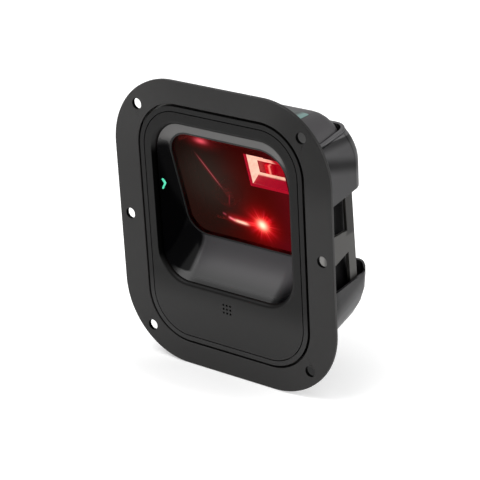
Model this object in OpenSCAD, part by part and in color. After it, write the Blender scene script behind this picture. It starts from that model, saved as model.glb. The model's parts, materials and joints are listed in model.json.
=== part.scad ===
// Hands-free barcode scanner for flush mounting: a scanner head held in a cradle behind a six-hole flange.
// X runs to the right as seen from the front, Y runs back into the counter and Z runs up.
// The origin is the centre of the flange's screw pattern, on the flange's front face. Sizes are in mm.

/* [Flange] */
// Width of the flange beside its opening
flange_side = 15.2; // [14.2:0.2:24]
// Width of the flange above and below its opening
flange_end = 11.8; // [10:0.2:22]
// Radius of the flange's corners
flange_r = 38.3; // [30:0.1:42]
// Thickness of the flange plate
flange_t = 2; // [1.5:0.1:2.5]
// Diameter of the six panel screw holes
panel_hole_d = 5.5; // [4:0.1:6]
// Distance of the corner holes from the flange's side edges
corner_hole_side = 16; // [14:0.2:17]
// Distance of the corner holes from the flange's upper and lower edges
corner_hole_end = 15.5; // [13.5:0.5:17]
// Distance of the two holes halfway up the sides from the flange's side edges
side_hole_side = 6.4; // [5:0.2:8]

/* [Head] */
// Width of the head's lip, the band seen just inside the flange
head_w = 98.8; // [96:0.2:100]
// Height of the head's lip
head_h = 124; // [121:0.5:126]
// Corner radius of the head's lip
head_r = 23.8; // [20:0.1:26]
// Dark gap between the flange's opening and the lip
reveal = 1.2; // [0.8:0.1:1.6]
// Width of the lip band
lip_band = 2.4; // [2:0.1:3]
// Depth of the lip
lip_t = 4; // [3.4:0.1:4.6]
// How far the head's side walls stand inside the lip
side_step = 2.4; // [2:0.1:3]
// How far the head's top and bottom walls stand inside the lip
end_step = 1; // [0.8:0.1:1.4]
// Wall thickness of the head's shells
wall = 2; // [1.6:0.1:2.4]
// Depth at which the front shell meets the seal
seam_y = 18; // [17:0.5:20]
// Thickness of the seal between the shells
seal_t = 0.8; // [0.5:0.1:1.2]
// Depth of the head's rear face at mid height
rear_y = 42; // [41:0.5:44]
// Rounding of the head's rear edge
rear_edge_r = 7.2; // [6:0.2:9]
// How much the side walls draw in towards the rear
rear_draw = 0.3; // [0.1:0.1:1.5]
// How much lower the head's top is at the rear
rear_drop = 2.1; // [1.5:0.1:3]
// How much deeper the rear face is at the head's foot than at mid height
rear_lean = 1.6; // [1:0.1:2]

/* [Face] */
// Fine groove between the lip band and the face cover
cover_gap = 0.5; // [0.3:0.1:0.8]
// Thickness of the face cover
cover_t = 2.4; // [2:0.1:2.8]
// Width of the face beside the recess
face_side = 3.7; // [3.1:0.1:5]
// Height of the face above the recess
face_top = 4.2; // [3.1:0.1:6]
// Height of the face below the recess
face_foot = 26.8; // [26:0.1:29]
// Corner radius of the recess's rim
rim_r = 18.2; // [14:0.1:20]
// Radius with which the face rolls into the recess
roll_r = 2.2; // [1.4:0.1:2.4]
// Width of the recess's wall beside the window
scoop_side = 7.6; // [6.8:0.1:9.8]
// Height of the window as seen in the recess, along its slope
window_h = 59.8; // [56:0.2:60]
// Radius of the window's upper corners
window_top_r = 13.5; // [8:0.5:15]
// Radius of the window's lower corners
window_foot_r = 10; // [6:0.5:13]
// Height of the recess's upper rim above the window's centre
window_drop = 36.6; // [36.3:0.1:36.9]
// Depth of the window's centre
window_y = 11.25; // [11.1:0.05:12]
// Lean of the window, its foot being deeper
window_lean = 14.4; // [13.6:0.1:14.6]
// Width of the black gasket round the window
gasket_w = 1; // [0.7:0.1:1.2]
// How much the recess bellies out between its rim and the window
scoop_bow = 1.35; // [1:0.05:1.6]
// Thickness of the window
window_t = 2.2; // [1.6:0.1:2.6]
// Spacing of the nine beeper holes
grille_pitch = 2.1; // [1.9:0.1:2.6]
// Diameter of a beeper hole
grille_hole_d = 1.2; // [0.9:0.1:1.4]
// Distance of the middle beeper hole from the recess
grille_drop = 6.6; // [6.2:0.1:8.7]

/* [Cradle] */
// Gap between the head and the cradle's side plates
plate_gap = 1.6; // [1.2:0.1:2]
// Thickness of a side plate
plate_t = 1.8; // [1.4:0.1:2]
// Depth of the rear post of a side plate at mid height
post_y = 39.2; // [38.5:0.1:40]
// Lean of the rear post, its foot being deeper, in degrees
post_lean = 2.8; // [1:0.1:3.5]
// Width of the rear post
post_w = 5.9; // [4.5:0.1:7]
// Height of the middle bar's upper edge
bar_top = 2.4; // [1:0.2:4]
// Height of the middle bar's lower edge at the rear post
bar_foot = -9; // [-11:0.2:-7]
// Fall of the middle bar's lower edge to the front, in degrees
bar_slope = 19; // [10:1:21]
// Wall thickness of the two saddles
saddle_t = 1.8; // [1.5:0.1:2.2]
// Depth of the upper saddle
upper_saddle_y = 46.6; // [45.5:0.1:48]
// Height of the upper saddle's foot at its front edge
upper_saddle_foot = 17.6; // [17:0.1:19]
// Height at its front edge from which the upper saddle draws in
upper_saddle_bend = 30.3; // [29.5:0.1:32]
// Height of the upper saddle's top at its front edge
upper_saddle_top = 47.8; // [46.5:0.1:48.4]
// How much each side of the upper saddle draws in at its top
upper_saddle_draw = 5.5; // [4:0.1:5.6]
// Rise of the upper saddle to the rear, in degrees
upper_saddle_rise = 8.5; // [7:0.1:9]
// Depth of the lower saddle
lower_saddle_y = 49.9; // [49:0.1:52]
// Height of the lower saddle's rim at its front edge
lower_rim_z = -27; // [-28:0.1:-26]
// Rise of the lower saddle's rim to the rear, in degrees
lower_rim_rise = 5.4; // [4:0.1:7]
// How much the lower saddle's foot rises to the rear
cup_lift = 6.4; // [5:0.1:6.5]
// Radius of the lower saddle's rear corners, seen from behind
cup_r = 35; // [32:0.5:36]

/* [Hidden] */
$fn = 48;
eps = 0.01;
// Clearances between pieces
slip = 0.2;
snug = 0.05;
// Board thickness, and the small screws' sizes
board_t = 1.6;
pilot_r = 1.1;

// The head's half sizes at the lip and behind it
lip_x = head_w / 2;
lip_z = head_h / 2;
body_x = lip_x - side_step;
body_z = lip_z - end_step;
body_r = head_r - 1.8;
shell_y = seam_y + seal_t;
foot_lift = 4;
foot_r_gain = 12;
top_r_loss = 7;

// The face cover and the recess
cover_x = lip_x - lip_band - cover_gap;
cover_z = lip_z - lip_band - cover_gap;
cover_r = head_r - lip_band - cover_gap;
rim_x = cover_x - face_side;
rim_top = cover_z - face_top;
rim_foot = face_foot - cover_z;
grille_z = rim_foot - grille_drop;
liner_y = cover_t + snug;
liner_t = 1.8;
liner_x = rim_x - roll_r;
liner_top = rim_top - roll_r;
liner_foot = rim_foot + roll_r;
liner_r = rim_r - roll_r;
rim_mid = (rim_top + rim_foot) / 2;
rim_h = rim_top - rim_foot;

// The recess's foot, in which the gasket, the window and the ledge behind them stand
window_x = rim_x - scoop_side;
window_z = rim_top - window_drop;
pane_x = window_x + gasket_w;
pane_z = window_h / 2 + gasket_w;
pane_top_r = window_top_r + gasket_w;
pane_foot_r = window_foot_r + gasket_w;
window_front = 0.4;
window_back = window_front + window_t;
well_d = window_back + snug;
ledge_w = 3.2;
ledge_back = well_d + 1.8;

// What lies behind the window, measured square to it
frame_back = ledge_back + snug + 2;
chassis_wall = 1.6;
box_x = window_x;
box_z = window_h / 2;
box_top_r = window_top_r;
box_foot_r = window_foot_r;
plate_front = 12;
plate_back = plate_front + 1.5;
ear_x = 14;
ear_z = pane_z + 3.1;
ear_r = 3.2;

// Places on the chassis back plate, from the window's centre
reflector_at = [13.6, 8.2];
reflector_mouth = [23, 17.8];
reflector_base_at = [-1.6, -1];
reflector_base = [16, 7.7];
reflector_d = 4;
led_board_front = plate_front + reflector_d + 0.2;
lens_at = [-14, -9];
barrel_r = 6.5;
barrel_bore_r = 5;
barrel_front = 7;
sensor_front = plate_back + 2.5;
aimer_at = [5.4, -22.5];
aimer_r = 2.5;
aimer_front = 7.9;
pipe_r = 0.8;
pipe_z = -23.6;
pipe_depth = 8;
pipe_from = -26.3;
pipe_to = aimer_at[0] - aimer_r - 0.5;
upper_led_at = [window_x - 13.7, 21.8];
upper_board_x = window_x - 7.2;
upper_board_z = [19.4, 25.4];
upper_board_front = 8;

// The housing screws, the main board and the socket
boss_r = 4.6;
corner_to_boss = (body_r - wall - boss_r + 0.6) / sqrt(2);
upper_screw = [body_x - body_r + corner_to_boss, body_z - body_r + corner_to_boss];
lower_screw = [body_x - 21, 19 - body_z];
screw_r = 1.4;
screw_head_r = 2.6;
screw_head_t = 1.8;
boss_front = 12.8;
screw_seat = 35;
board_y = 33;
board_foot = 10 - body_z;
board_step = board_foot + 14.5;
board_top = board_foot + 30;
board_x = body_x - 12.5;
board_foot_x = board_x - 14;
standoffs = [[board_x - 3, board_top - 4], [board_foot_x - 3.5, board_foot + 4]];
socket_w = 15;
socket_top = board_foot + 7.5;
socket_foot = board_foot - 4.5;
socket_y = 44.8;

// The flange and the cradle
flange_w = head_w + 2 * reveal + 2 * flange_side;
flange_h = head_h + 2 * reveal + 2 * flange_end;
corner_hole_x = flange_w - 2 * corner_hole_side;
corner_hole_z = flange_h - 2 * corner_hole_end;
side_hole_x = flange_w - 2 * side_hole_side;
plate_x = body_x + plate_gap + plate_t;
cradle_front = flange_t;
tab_t = lip_t - flange_t + 0.4;
rim_t = 2.2;
stud_at = [plate_x + 5.1, 30];
stud_r = 1.5;
nut_t = 2.4;
saddle_x = plate_x + slip + saddle_t;
saddle_front = cradle_front + tab_t + nut_t + 1.2;
saddle_corner_r = 8;
upper_saddle_rear_draw = 4;
bead_r = 0.85;
cup_front_r = 27;
cup_draw = 0.8;
saddle_screw_y = 12;
upper_saddle_screw_z = upper_saddle_foot + 9.4;
lower_saddle_screw_z = lower_rim_z - 4.5;

// Wider than anything in the part, for what is cut away
vast = 200;

// Face view: X right, Y up and Z into the scanner. This turns it into the part's own frame.
module face_view() {
    mirror([0, 1, -1]) children();
}

// Window view: as the face view, from the window's centre and square to its outer face.
module window_view() {
    face_view()
        translate([0, window_z, window_y])
            rotate([-window_lean, 0, 0])
                children();
}

// A slab between two depths of the view that it stands in.
module slab(from, to) {
    translate([0, 0, from])
        linear_extrude(to - from)
            children();
}

module rounded(w, h, r) {
    square([w - 2 * r, h], center = true);
    square([w, h - 2 * r], center = true);
    for (x = [-1, 1], y = [-1, 1])
        translate([x * (w / 2 - r), y * (h / 2 - r)])
            circle(r = r);
}

// A rounded rectangle with its own radius at the top and at the foot
module panel(half_w, half_h, top_r, foot_r) {
    translate([-half_w, foot_r - half_h])
        square([2 * half_w, 2 * half_h - top_r - foot_r]);
    translate([top_r - half_w, 0])
        square([2 * (half_w - top_r), half_h]);
    translate([foot_r - half_w, -half_h])
        square([2 * (half_w - foot_r), half_h]);
    for (x = [-1, 1]) {
        translate([x * (half_w - top_r), half_h - top_r])
            circle(r = top_r);
        translate([x * (half_w - foot_r), foot_r - half_h])
            circle(r = foot_r);
    }
}

module pane_panel(grow) {
    panel(pane_x + grow, pane_z + grow, pane_top_r + grow, pane_foot_r + grow);
}

module round_frame(w, h, r, band) {
    difference() {
        rounded(w, h, r);
        rounded(w - 2 * band, h - 2 * band, r - band);
    }
}

// A profile swept round a rounded rectangle: its X is the way out from the rectangle, its Y the depth.
module swept_frame(w, h, r) {
    for (turn = [0, 1, 2, 3]) {
        along = turn % 2 == 0 ? h : w;
        across = turn % 2 == 0 ? w : h;
        rotate([0, 0, 90 * turn]) {
            translate([across / 2, along / 2 - r, 0])
                rotate([90, 0, 0])
                    linear_extrude(along - 2 * r)
                        children();
            translate([across / 2 - r, along / 2 - r, 0])
                rotate_extrude(angle = 90)
                    translate([r, 0])
                        children();
        }
    }
}

module mirrored() {
    children();
    mirror([1, 0, 0]) children();
}

// Outline of a rounded rectangle with its own radius at the top and at the foot, anticlockwise.
function quarter(x, y, r, start, steps) =
    [for (i = [0:steps]) let (a = start + 90 * i / steps) [x + r * cos(a), y + r * sin(a)]];
function outline(half_w, top, foot, top_r, foot_r, steps = 7) = concat(
    quarter(half_w - top_r, top - top_r, top_r, 0, steps),
    quarter(top_r - half_w, top - top_r, top_r, 90, steps),
    quarter(foot_r - half_w, foot + foot_r, foot_r, 180, steps),
    quarter(half_w - foot_r, foot + foot_r, foot_r, 270, steps));

// A solid through a stack of outlines that hold equally many points.
module loft(rings) {
    n = len(rings[0]);
    last = len(rings) - 1;
    sides = [for (k = [0:last - 1], i = [0:n - 1])
        let (a = k * n + i, b = k * n + (i + 1) % n, c = b + n, d = a + n)
            each [[a, d, c], [a, c, b]]];
    polyhedron(
        points = [for (ring = rings) each ring],
        faces = concat([[for (i = [0:n - 1]) i]], sides, [[for (i = [n - 1:-1:0]) last * n + i]]));
}

// The head behind its seam: walls that draw in, a larger radius at the foot and a rear face that leans.
function back_share(y) = max(0, (y - shell_y) / (rear_y - shell_y));
function head_ring(y, grow, inset) =
    let (s = back_share(y),
        section = outline(
            body_x - rear_draw * s - inset + grow,
            body_z - rear_drop * s - inset + grow,
            foot_lift * s - body_z + inset - grow,
            body_r - top_r_loss * s - inset + grow,
            body_r + foot_r_gain * s - inset + grow))
    [for (p = section) [p[0], p[1], y - rear_lean * s * p[1] / body_z]];
function head_rings(front, back, grow, edge_r, steps = 4) = concat(
    [head_ring(front, grow, 0)],
    [for (i = [0:steps]) let (a = 90 * i / steps)
        head_ring(back - edge_r * (1 - sin(a)), grow, edge_r * (1 - cos(a)))]);
function rear_face(z) = rear_y - rear_lean * z / body_z;

// The recess: from the rim's outline to the window's, with a belly, and square to the window beyond that.
function pane_outline(grow) =
    outline(pane_x + grow, pane_z + grow, -pane_z - grow, pane_top_r + grow, pane_foot_r + grow, 8);
function pane_ring(grow, n) =
    [for (p = pane_outline(grow))
        [p[0], window_z + p[1] * cos(window_lean) + n * sin(window_lean),
            window_y - p[1] * sin(window_lean) + n * cos(window_lean)]];
function liner_ring(t, grow, back) =
    let (
        rim = outline(liner_x + grow, liner_top + grow, liner_foot - grow,
            liner_r + grow, liner_r + grow, 8),
        pane = pane_ring(grow, 0),
        depth = 1 - pow(1 - t, scoop_bow))
    [for (i = [0:len(rim) - 1])
        [rim[i][0] + (pane[i][0] - rim[i][0]) * t,
            rim[i][1] + (pane[i][1] - rim[i][1]) * t,
            liner_y + (pane[i][2] - liner_y) * depth + back]];
liner_steps = 7;
liner_back = 1.6;
module liner_outside(more) {
    loft(concat(
        [liner_ring(0, liner_t + more, 0)],
        [for (i = [0:liner_steps]) liner_ring(i / liner_steps, liner_t + more, liner_back + more)],
        [pane_ring(liner_t + more, ledge_back + 1 + more)]));
}
module liner_inside(more) {
    loft(concat(
        [liner_ring(0, more, -1)],
        [for (i = [0:liner_steps]) liner_ring(i / liner_steps, more, 0)],
        [pane_ring(more, ledge_back + 3)]));
}

// Flange and its fasteners
module panel_holes() {
    for (x = [-1, 1], z = [-1, 1])
        translate([x * corner_hole_x / 2, z * corner_hole_z / 2, -1])
            cylinder(d = panel_hole_d, h = flange_t + 2);
    for (x = [-1, 1])
        translate([x * side_hole_x / 2, 0, -1])
            cylinder(d = panel_hole_d, h = flange_t + 2);
}

module flange_plate() {
    color([0.24, 0.235, 0.23])
        face_view()
            difference() {
                slab(0, flange_t) rounded(flange_w, flange_h, flange_r);
                slab(-1, flange_t + 1) around_lip(0);
                panel_holes();
            }
}

module at_studs() {
    for (x = [-1, 1], z = [-1, 1])
        translate([x * stud_at[0], z * stud_at[1], 0])
            children();
}

module flange_studs() {
    color([0.7, 0.7, 0.72])
        face_view()
            at_studs()
                translate([0, 0, flange_t])
                    cylinder(r = stud_r, h = tab_t + nut_t + 1.2);
}

module stud_nuts() {
    color([0.72, 0.72, 0.74])
        face_view()
            at_studs()
                slab(flange_t + tab_t, flange_t + tab_t + nut_t)
                    difference() {
                        circle(d = 5.5 / cos(30), $fn = 6);
                        circle(r = stud_r + snug);
                    }
}

// Cradle: a front rim with tabs, and a windowed plate on each side, drawn with its depth as X
module side_plate_outline() {
    post_slope = tan(post_lean);
    rise = tan(upper_saddle_rise);
    rim_rise = tan(lower_rim_rise);
    foot = lower_rim_z - 3.5;
    foot_back = foot + (post_y - saddle_front) * rim_rise;
    top = (upper_saddle_bend + (post_y - saddle_front) * rise) / (1 + post_slope * rise);
    window_y0 = 10;
    window_foot = lower_rim_z - 1.5;
    window_foot_back = window_foot + (post_y - post_w - saddle_front) * rim_rise;
    window_top = upper_saddle_foot + 5;
    inner_y = post_y - post_w;
    bar_fall = (inner_y - window_y0) * tan(bar_slope);
    difference() {
        union() {
            polygon([[lip_t, foot], [post_y - foot_back * post_slope, foot_back],
                [post_y - top * post_slope, top], [lip_t, upper_saddle_bend]]);
            translate([lip_t, lower_saddle_screw_z - 3.5])
                square([saddle_screw_y + 6 - lip_t, 8]);
        }
        polygon([[window_y0, bar_top], [inner_y - bar_top * post_slope, bar_top],
            [inner_y - window_top * post_slope, window_top], [window_y0, window_top]]);
        polygon([[window_y0, window_foot], [inner_y - window_foot_back * post_slope, window_foot_back],
            [inner_y - bar_foot * post_slope, bar_foot], [window_y0, bar_foot - bar_fall]]);
    }
}

module around_lip(grow) {
    rounded(2 * (lip_x + reveal + grow), 2 * (lip_z + reveal + grow), head_r + reveal + grow);
}

module cradle_frame() {
    collar_w = 1.5;
    tab_w = 9.6;
    tab_h = 12;
    color([0.5, 0.5, 0.49])
        difference() {
            union() {
                face_view()
                    slab(lip_t, lip_t + rim_t)
                        difference() {
                            around_lip(collar_w - 0.7);
                            rounded(2 * (body_x + 2 * slip), 2 * (body_z + 2 * slip), body_r + 2 * slip);
                        }
                face_view()
                    slab(flange_t, flange_t + tab_t)
                        difference() {
                            around_lip(collar_w);
                            around_lip(0);
                        }
                face_view()
                    for (x = [-1, 1], z = [-1, 1])
                        translate([x * (plate_x - 1 + tab_w / 2), z * stud_at[1], flange_t])
                            slab(0, tab_t) square([tab_w, tab_h], center = true);
                mirrored()
                    translate([plate_x - plate_t, 0, 0])
                        rotate([90, 0, 90])
                            linear_extrude(plate_t)
                                side_plate_outline();
            }
            face_view()
                at_studs()
                    cylinder(r = stud_r + 0.15, h = 20);
            saddle_screw_holes(screw_r - 0.05);
        }
}

module at_saddle_screws() {
    mirrored()
        for (z = [upper_saddle_screw_z, lower_saddle_screw_z])
            translate([0, saddle_screw_y, z])
                rotate([0, 90, 0])
                    children();
}

module saddle_screw_holes(r) {
    at_saddle_screws()
        translate([0, 0, body_x + 0.5])
            cylinder(r = r, h = 10);
}

// Upper saddle: two side walls and a rear wall that rise to the rear and draw in above a bend
function saddle_share(z) = pow(max(0, (z - upper_saddle_bend) / (upper_saddle_top - upper_saddle_bend)), 2);
function saddle_half(z) = saddle_x - upper_saddle_draw * saddle_share(z);
function saddle_back(z) = upper_saddle_y - upper_saddle_rear_draw * saddle_share(z);
function saddle_ring(z, inset, front, up = 0) =
    let (half_w = saddle_half(z) - inset,
        back = saddle_back(z) - inset,
        r = saddle_corner_r - inset,
        plan = concat([[half_w, front]],
            quarter(half_w - r, back - r, r, 0, 7),
            quarter(r - half_w, back - r, r, 90, 7),
            [[-half_w, front]]))
    [for (p = plan) [p[0], p[1], z + up + (p[1] - saddle_front) * tan(upper_saddle_rise)]];
function saddle_wall(from, to, inset, front, steps = 6) = concat(
    [saddle_ring(from, inset, front)],
    [for (i = [0:steps])
        saddle_ring(upper_saddle_bend + (to - upper_saddle_bend) * i / steps, inset, front)]);

module upper_saddle() {
    bead_z = upper_saddle_top - bead_r;
    proud = 0.3;
    groove = 0.15;
    inner_front = saddle_front - 1;
    rear_inside = upper_saddle_y - saddle_t;
    rib_z = upper_saddle_foot + 10.4;
    rib_y = rear_face(rib_z) + slip;
    bead = [for (a = [-30:30:90])
        saddle_ring(bead_z, bead_r * (1 - cos(a)) - proud, saddle_front, bead_r * sin(a))];
    color([0.5, 0.5, 0.49])
        difference() {
            union() {
                difference() {
                    loft(concat(
                        saddle_wall(upper_saddle_foot, bead_z - bead_r, 0, saddle_front),
                        [saddle_ring(bead_z, groove, saddle_front, -0.75 * bead_r)],
                        bead));
                    loft(concat(
                        saddle_wall(upper_saddle_foot - 1, bead_z, saddle_t, inner_front),
                        [saddle_ring(bead_z, saddle_t, inner_front, 2 * bead_r)]));
                }
                for (x = [-24, 24])
                    translate([x - 1, rib_y, rib_z])
                        cube([2, rear_inside + 0.5 - rib_y, 8]);
            }
            saddle_screw_holes(screw_r + 0.1);
        }
}

// Lower saddle: a cup round the head's foot, its corners opening out to the rear
function cup_ring(y, grow, inset, draw) =
    let (s = (y - saddle_front) / (lower_saddle_y - saddle_front),
        half_w = saddle_x - draw * s + grow - inset,
        foot = cup_lift * s - lip_z - reveal - saddle_t + inset - grow,
        r = cup_front_r + (cup_r - cup_front_r) * s + grow - inset)
    [for (p = outline(half_w, 20, foot, 5, r, 7)) [p[0], p[1], y]];
function cup_rings(front, back, grow, edge_r, draw, steps = 4) = concat(
    [cup_ring(front, grow, 0, draw)],
    [for (i = [0:steps]) let (a = 90 * i / steps)
        cup_ring(back - edge_r * (1 - sin(a)), grow, edge_r * (1 - cos(a)), draw)]);

module lower_saddle() {
    edge_r = 6;
    horn_r = 6;
    horn_y = lower_saddle_y - 2 * saddle_t;
    horn_top = lower_rim_z + 7.5;
    horn_x = saddle_x - cup_draw - horn_r;
    rear_inside = lower_saddle_y - saddle_t;
    rib_z = lower_rim_z - 13;
    rib_y = rear_face(rib_z) + slip;
    floor_z = slip - lip_z - reveal;
    socket_gap = 1;
    color([0.48, 0.48, 0.5])
        difference() {
            union() {
                face_view()
                    difference() {
                        loft(cup_rings(saddle_front, lower_saddle_y, 0, edge_r, cup_draw));
                        loft(cup_rings(saddle_front - 1, rear_inside, -saddle_t, edge_r - saddle_t, 0));
                    }
                for (x = [-24, 24])
                    translate([x - 1, rib_y, rib_z])
                        cube([2, rear_inside + 0.5 - rib_y, 8]);
                for (x = [-20, 20])
                    translate([x - 1, saddle_front + 1, floor_z])
                        cube([2, 7, reveal + end_step - 2 * slip]);
            }
            intersection() {
                translate([-vast / 2, saddle_front, lower_rim_z])
                    rotate([lower_rim_rise, 0, 0])
                        translate([0, -vast / 2, 0])
                            cube(vast);
                translate([-vast / 2, horn_y - vast, -vast / 2])
                    cube(vast);
            }
            translate([-vast / 2, 0, horn_top])
                cube(vast);
            mirrored()
                translate([horn_x, horn_y - eps, horn_top - horn_r])
                    difference() {
                        cube(2 * horn_r);
                        rotate([-90, 0, 0])
                            cylinder(r = horn_r, h = 5 * horn_r, center = true);
                    }
            translate([-socket_w / 2 - 3.5, rear_y, socket_foot - socket_gap])
                cube([socket_w + 7, vast, lower_rim_z - 10 - socket_foot]);
            saddle_screw_holes(screw_r + 0.1);
        }
}

module saddle_screws() {
    color([0.3, 0.3, 0.31])
        at_saddle_screws() {
            translate([0, 0, body_x + 0.9])
                cylinder(r = screw_r - 0.1, h = saddle_x - body_x - 0.9);
            translate([0, 0, saddle_x])
                cylinder(r = screw_head_r, h = screw_head_t);
        }
}

// Head shells
module front_shell() {
    ledge_x = body_x - wall;
    ledge_z = body_z - wall;
    ledge_r = body_r - wall;
    color([0.26, 0.255, 0.25])
        face_view()
            difference() {
                union() {
                    slab(0, lip_t) round_frame(head_w, head_h, head_r, lip_band);
                    slab(cover_t, lip_t)
                        difference() {
                            rounded(head_w - 1, head_h - 1, head_r - 0.5);
                            rounded(2 * ledge_x, 2 * ledge_z, ledge_r);
                        }
                    slab(cover_t, seam_y) round_frame(2 * body_x, 2 * body_z, body_r, wall);
                    slab(boss_front, seam_y)
                        intersection() {
                            rounded(2 * body_x - wall, 2 * body_z - wall, body_r - wall / 2);
                            mirrored() {
                                translate(upper_screw) circle(r = boss_r);
                                translate(lower_screw) circle(r = boss_r);
                                translate([lower_screw[0] - 1, -body_z])
                                    square([2, body_z + lower_screw[1] - 2]);
                            }
                        }
                }
                mirrored()
                    for (at = [upper_screw, lower_screw])
                        translate([at[0], at[1], boss_front + 1])
                            cylinder(r = screw_r + snug, h = 20);
            }
}

module housing_seal() {
    color([0.05, 0.05, 0.05])
        face_view()
            slab(seam_y, shell_y)
                difference() {
                    round_frame(2 * body_x - 0.6, 2 * body_z - 0.6, body_r - 0.3, wall - 0.6);
                    mirrored()
                        for (at = [upper_screw, lower_screw])
                            translate(at) circle(r = boss_r);
                }
}

module socket_opening() {
    translate([-socket_w / 2 - slip, rear_y - 4.5, socket_foot - slip])
        cube([socket_w + 2 * slip, 12, socket_top - socket_foot + 2 * slip]);
}

light_x = 33;
light_front = 22.5;
light_back = 29;
module top_light_zone(spare) {
    translate([-light_x - spare, light_front - spare, body_z - 8])
        cube([2 * (light_x + spare), light_back - light_front + 2 * spare, 12]);
}

module rear_shell() {
    inner_back = rear_y - wall;
    color([0.36, 0.35, 0.37])
        difference() {
            face_view() {
                difference() {
                    loft(head_rings(shell_y, rear_y, 0, rear_edge_r));
                    loft(head_rings(shell_y - 1, inner_back, -wall, rear_edge_r - wall));
                }
                intersection() {
                    loft(head_rings(shell_y, rear_y - 0.5, -0.8, rear_edge_r));
                    mirrored() {
                        for (at = [upper_screw, lower_screw])
                            translate([at[0], at[1], shell_y])
                                cylinder(r = boss_r, h = 30);
                        for (at = standoffs)
                            translate([at[0], at[1], board_y])
                                cylinder(r = 2.4, h = 20);
                    }
                }
            }
            face_view()
                mirrored() {
                    for (at = [upper_screw, lower_screw]) {
                        translate([at[0], at[1], shell_y - 1])
                            cylinder(r = screw_r + slip, h = 40);
                        translate([at[0], at[1], screw_seat])
                            cylinder(r = screw_head_r + slip, h = 20);
                    }
                    for (at = standoffs)
                        translate([at[0], at[1], board_y - 1])
                            cylinder(r = pilot_r, h = 6);
                }
            intersection() {
                top_light_zone(snug);
                face_view() loft(head_rings(shell_y - 1, rear_y + 2, 2, 4));
            }
            socket_opening();
        }
}

module housing_screws() {
    color([0.3, 0.3, 0.31])
        face_view()
            mirrored()
                for (at = [upper_screw, lower_screw])
                    translate([at[0], at[1], 0]) {
                        translate([0, 0, boss_front + 2])
                            cylinder(r = screw_r, h = screw_seat - boss_front - 2);
                        translate([0, 0, screw_seat])
                            cylinder(r = screw_head_r, h = screw_head_t);
                    }
}

module top_light() {
    color([0.6, 0.95, 0.8, 0.7])
        intersection() {
            top_light_zone(0);
            difference() {
                face_view() loft(head_rings(shell_y - 1, rear_y + 2, 0.25, 4));
                face_view() loft(head_rings(shell_y - 2, rear_y + 3, -wall - 0.4, 4));
            }
        }
}

module top_led_board() {
    top = body_z - wall - rear_drop * back_share(light_back) - 0.5;
    color([0.1, 0.35, 0.2]) {
        translate([-24, light_front - 1, top - 1.2 - board_t])
            cube([48, light_back - light_front + 2, board_t]);
        for (x = [-18, -6, 6, 18])
            translate([x - 1.5, light_front + 1, top - 1.2])
                cube([3, 3, 1.2]);
    }
}

// Face
module beeper_holes(from, to) {
    for (i = [-1:1], k = [-1:1])
        translate([i * grille_pitch, grille_z + k * grille_pitch, from])
            cylinder(d = grille_hole_d, h = to - from);
}

beeper_r = 5.3;
beeper_h = 6;
mesh_t = 0.3;
module face_cover() {
    color([0.26, 0.255, 0.25])
        face_view()
            difference() {
                union() {
                    slab(0, cover_t)
                        difference() {
                            rounded(2 * cover_x, 2 * cover_z, cover_r);
                            translate([0, rim_mid])
                                rounded(2 * rim_x, rim_h, rim_r);
                        }
                    translate([0, rim_mid, 0])
                        swept_frame(2 * liner_x, rim_h - 2 * roll_r, liner_r) {
                            union() {
                                intersection() {
                                    translate([roll_r, roll_r])
                                        circle(r = roll_r);
                                    square([roll_r, roll_r]);
                                }
                                translate([0, roll_r])
                                    square([roll_r, cover_t - roll_r]);
                            }
                        }
                    slab(cover_t, cover_t + 3)
                        translate([0, grille_z])
                            difference() {
                                circle(r = beeper_r + 1.3);
                                circle(r = beeper_r + slip);
                                translate([-2 * beeper_r, liner_foot - 2.2 - grille_z])
                                    square(4 * beeper_r);
                            }
                }
                beeper_holes(-1, cover_t + 1);
            }
}

module chevron(grow) {
    // An arrow head drawn on the recess's side wall: X is the depth, Y the height
    arm = 2.3;
    stroke = 0.5 + grow;
    for (way = [-1, 1])
        hull() {
            circle(r = stroke, $fn = 16);
            translate([-arm * 0.5, way * arm])
                circle(r = stroke, $fn = 16);
        }
}

chevron_y = 5.3;
chevron_z = 18.4;
module chevron_prism(grow, from, to) {
    translate([-to, chevron_y, chevron_z])
        rotate([90, 0, 90])
            linear_extrude(to - from)
                chevron(grow);
}

module recess_liner() {
    color([0.08, 0.08, 0.085])
        difference() {
            union() {
                face_view()
                    difference() {
                        liner_outside(0);
                        liner_inside(0);
                    }
                window_view() {
                    slab(well_d, ledge_back)
                        difference() {
                            polygon(pane_outline(liner_t / 2));
                            polygon(pane_outline(-ledge_w - gasket_w));
                        }
                    for (x = [-1, 1], z = [-1, 1])
                        translate([x * ear_x, z * ear_z, 1.5])
                            cylinder(r = ear_r - 0.4, h = ledge_back - 0.5);
                }
            }
            window_view() {
                slab(ledge_back, ledge_back + 10) square(vast, center = true);
                for (x = [-1, 1], z = [-1, 1])
                    translate([x * ear_x, z * ear_z, 2])
                        cylinder(r = pilot_r, h = 10);
            }
            chevron_prism(snug, liner_x - 4, liner_x + 3);
        }
}

module status_light() {
    color([0.2, 0.9, 0.6])
        intersection() {
            chevron_prism(0, liner_x - 4, liner_x + 3.6);
            face_view()
                difference() {
                    liner_outside(0.6);
                    liner_inside(-0.1);
                }
        }
}

module status_led_board() {
    back = body_x - wall;
    color([0.1, 0.35, 0.2]) {
        translate([-back, chevron_y - 2.5, chevron_z - 6])
            cube([0.8, 9, 12]);
        translate([-back + 0.8, chevron_y - 1.5, chevron_z - 1.5])
            cube([0.8, 3, 3]);
    }
}

// Window and optics
module window_gasket() {
    color([0.03, 0.03, 0.03])
        window_view()
            slab(0, window_back)
                difference() {
                    pane_panel(-snug - 0.05);
                    pane_panel(-gasket_w);
                }
}

module scan_window() {
    color([0.35, 0.02, 0.02, 0.6])
        window_view()
            slab(window_front, window_back)
                pane_panel(-gasket_w - 0.02);
}

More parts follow.
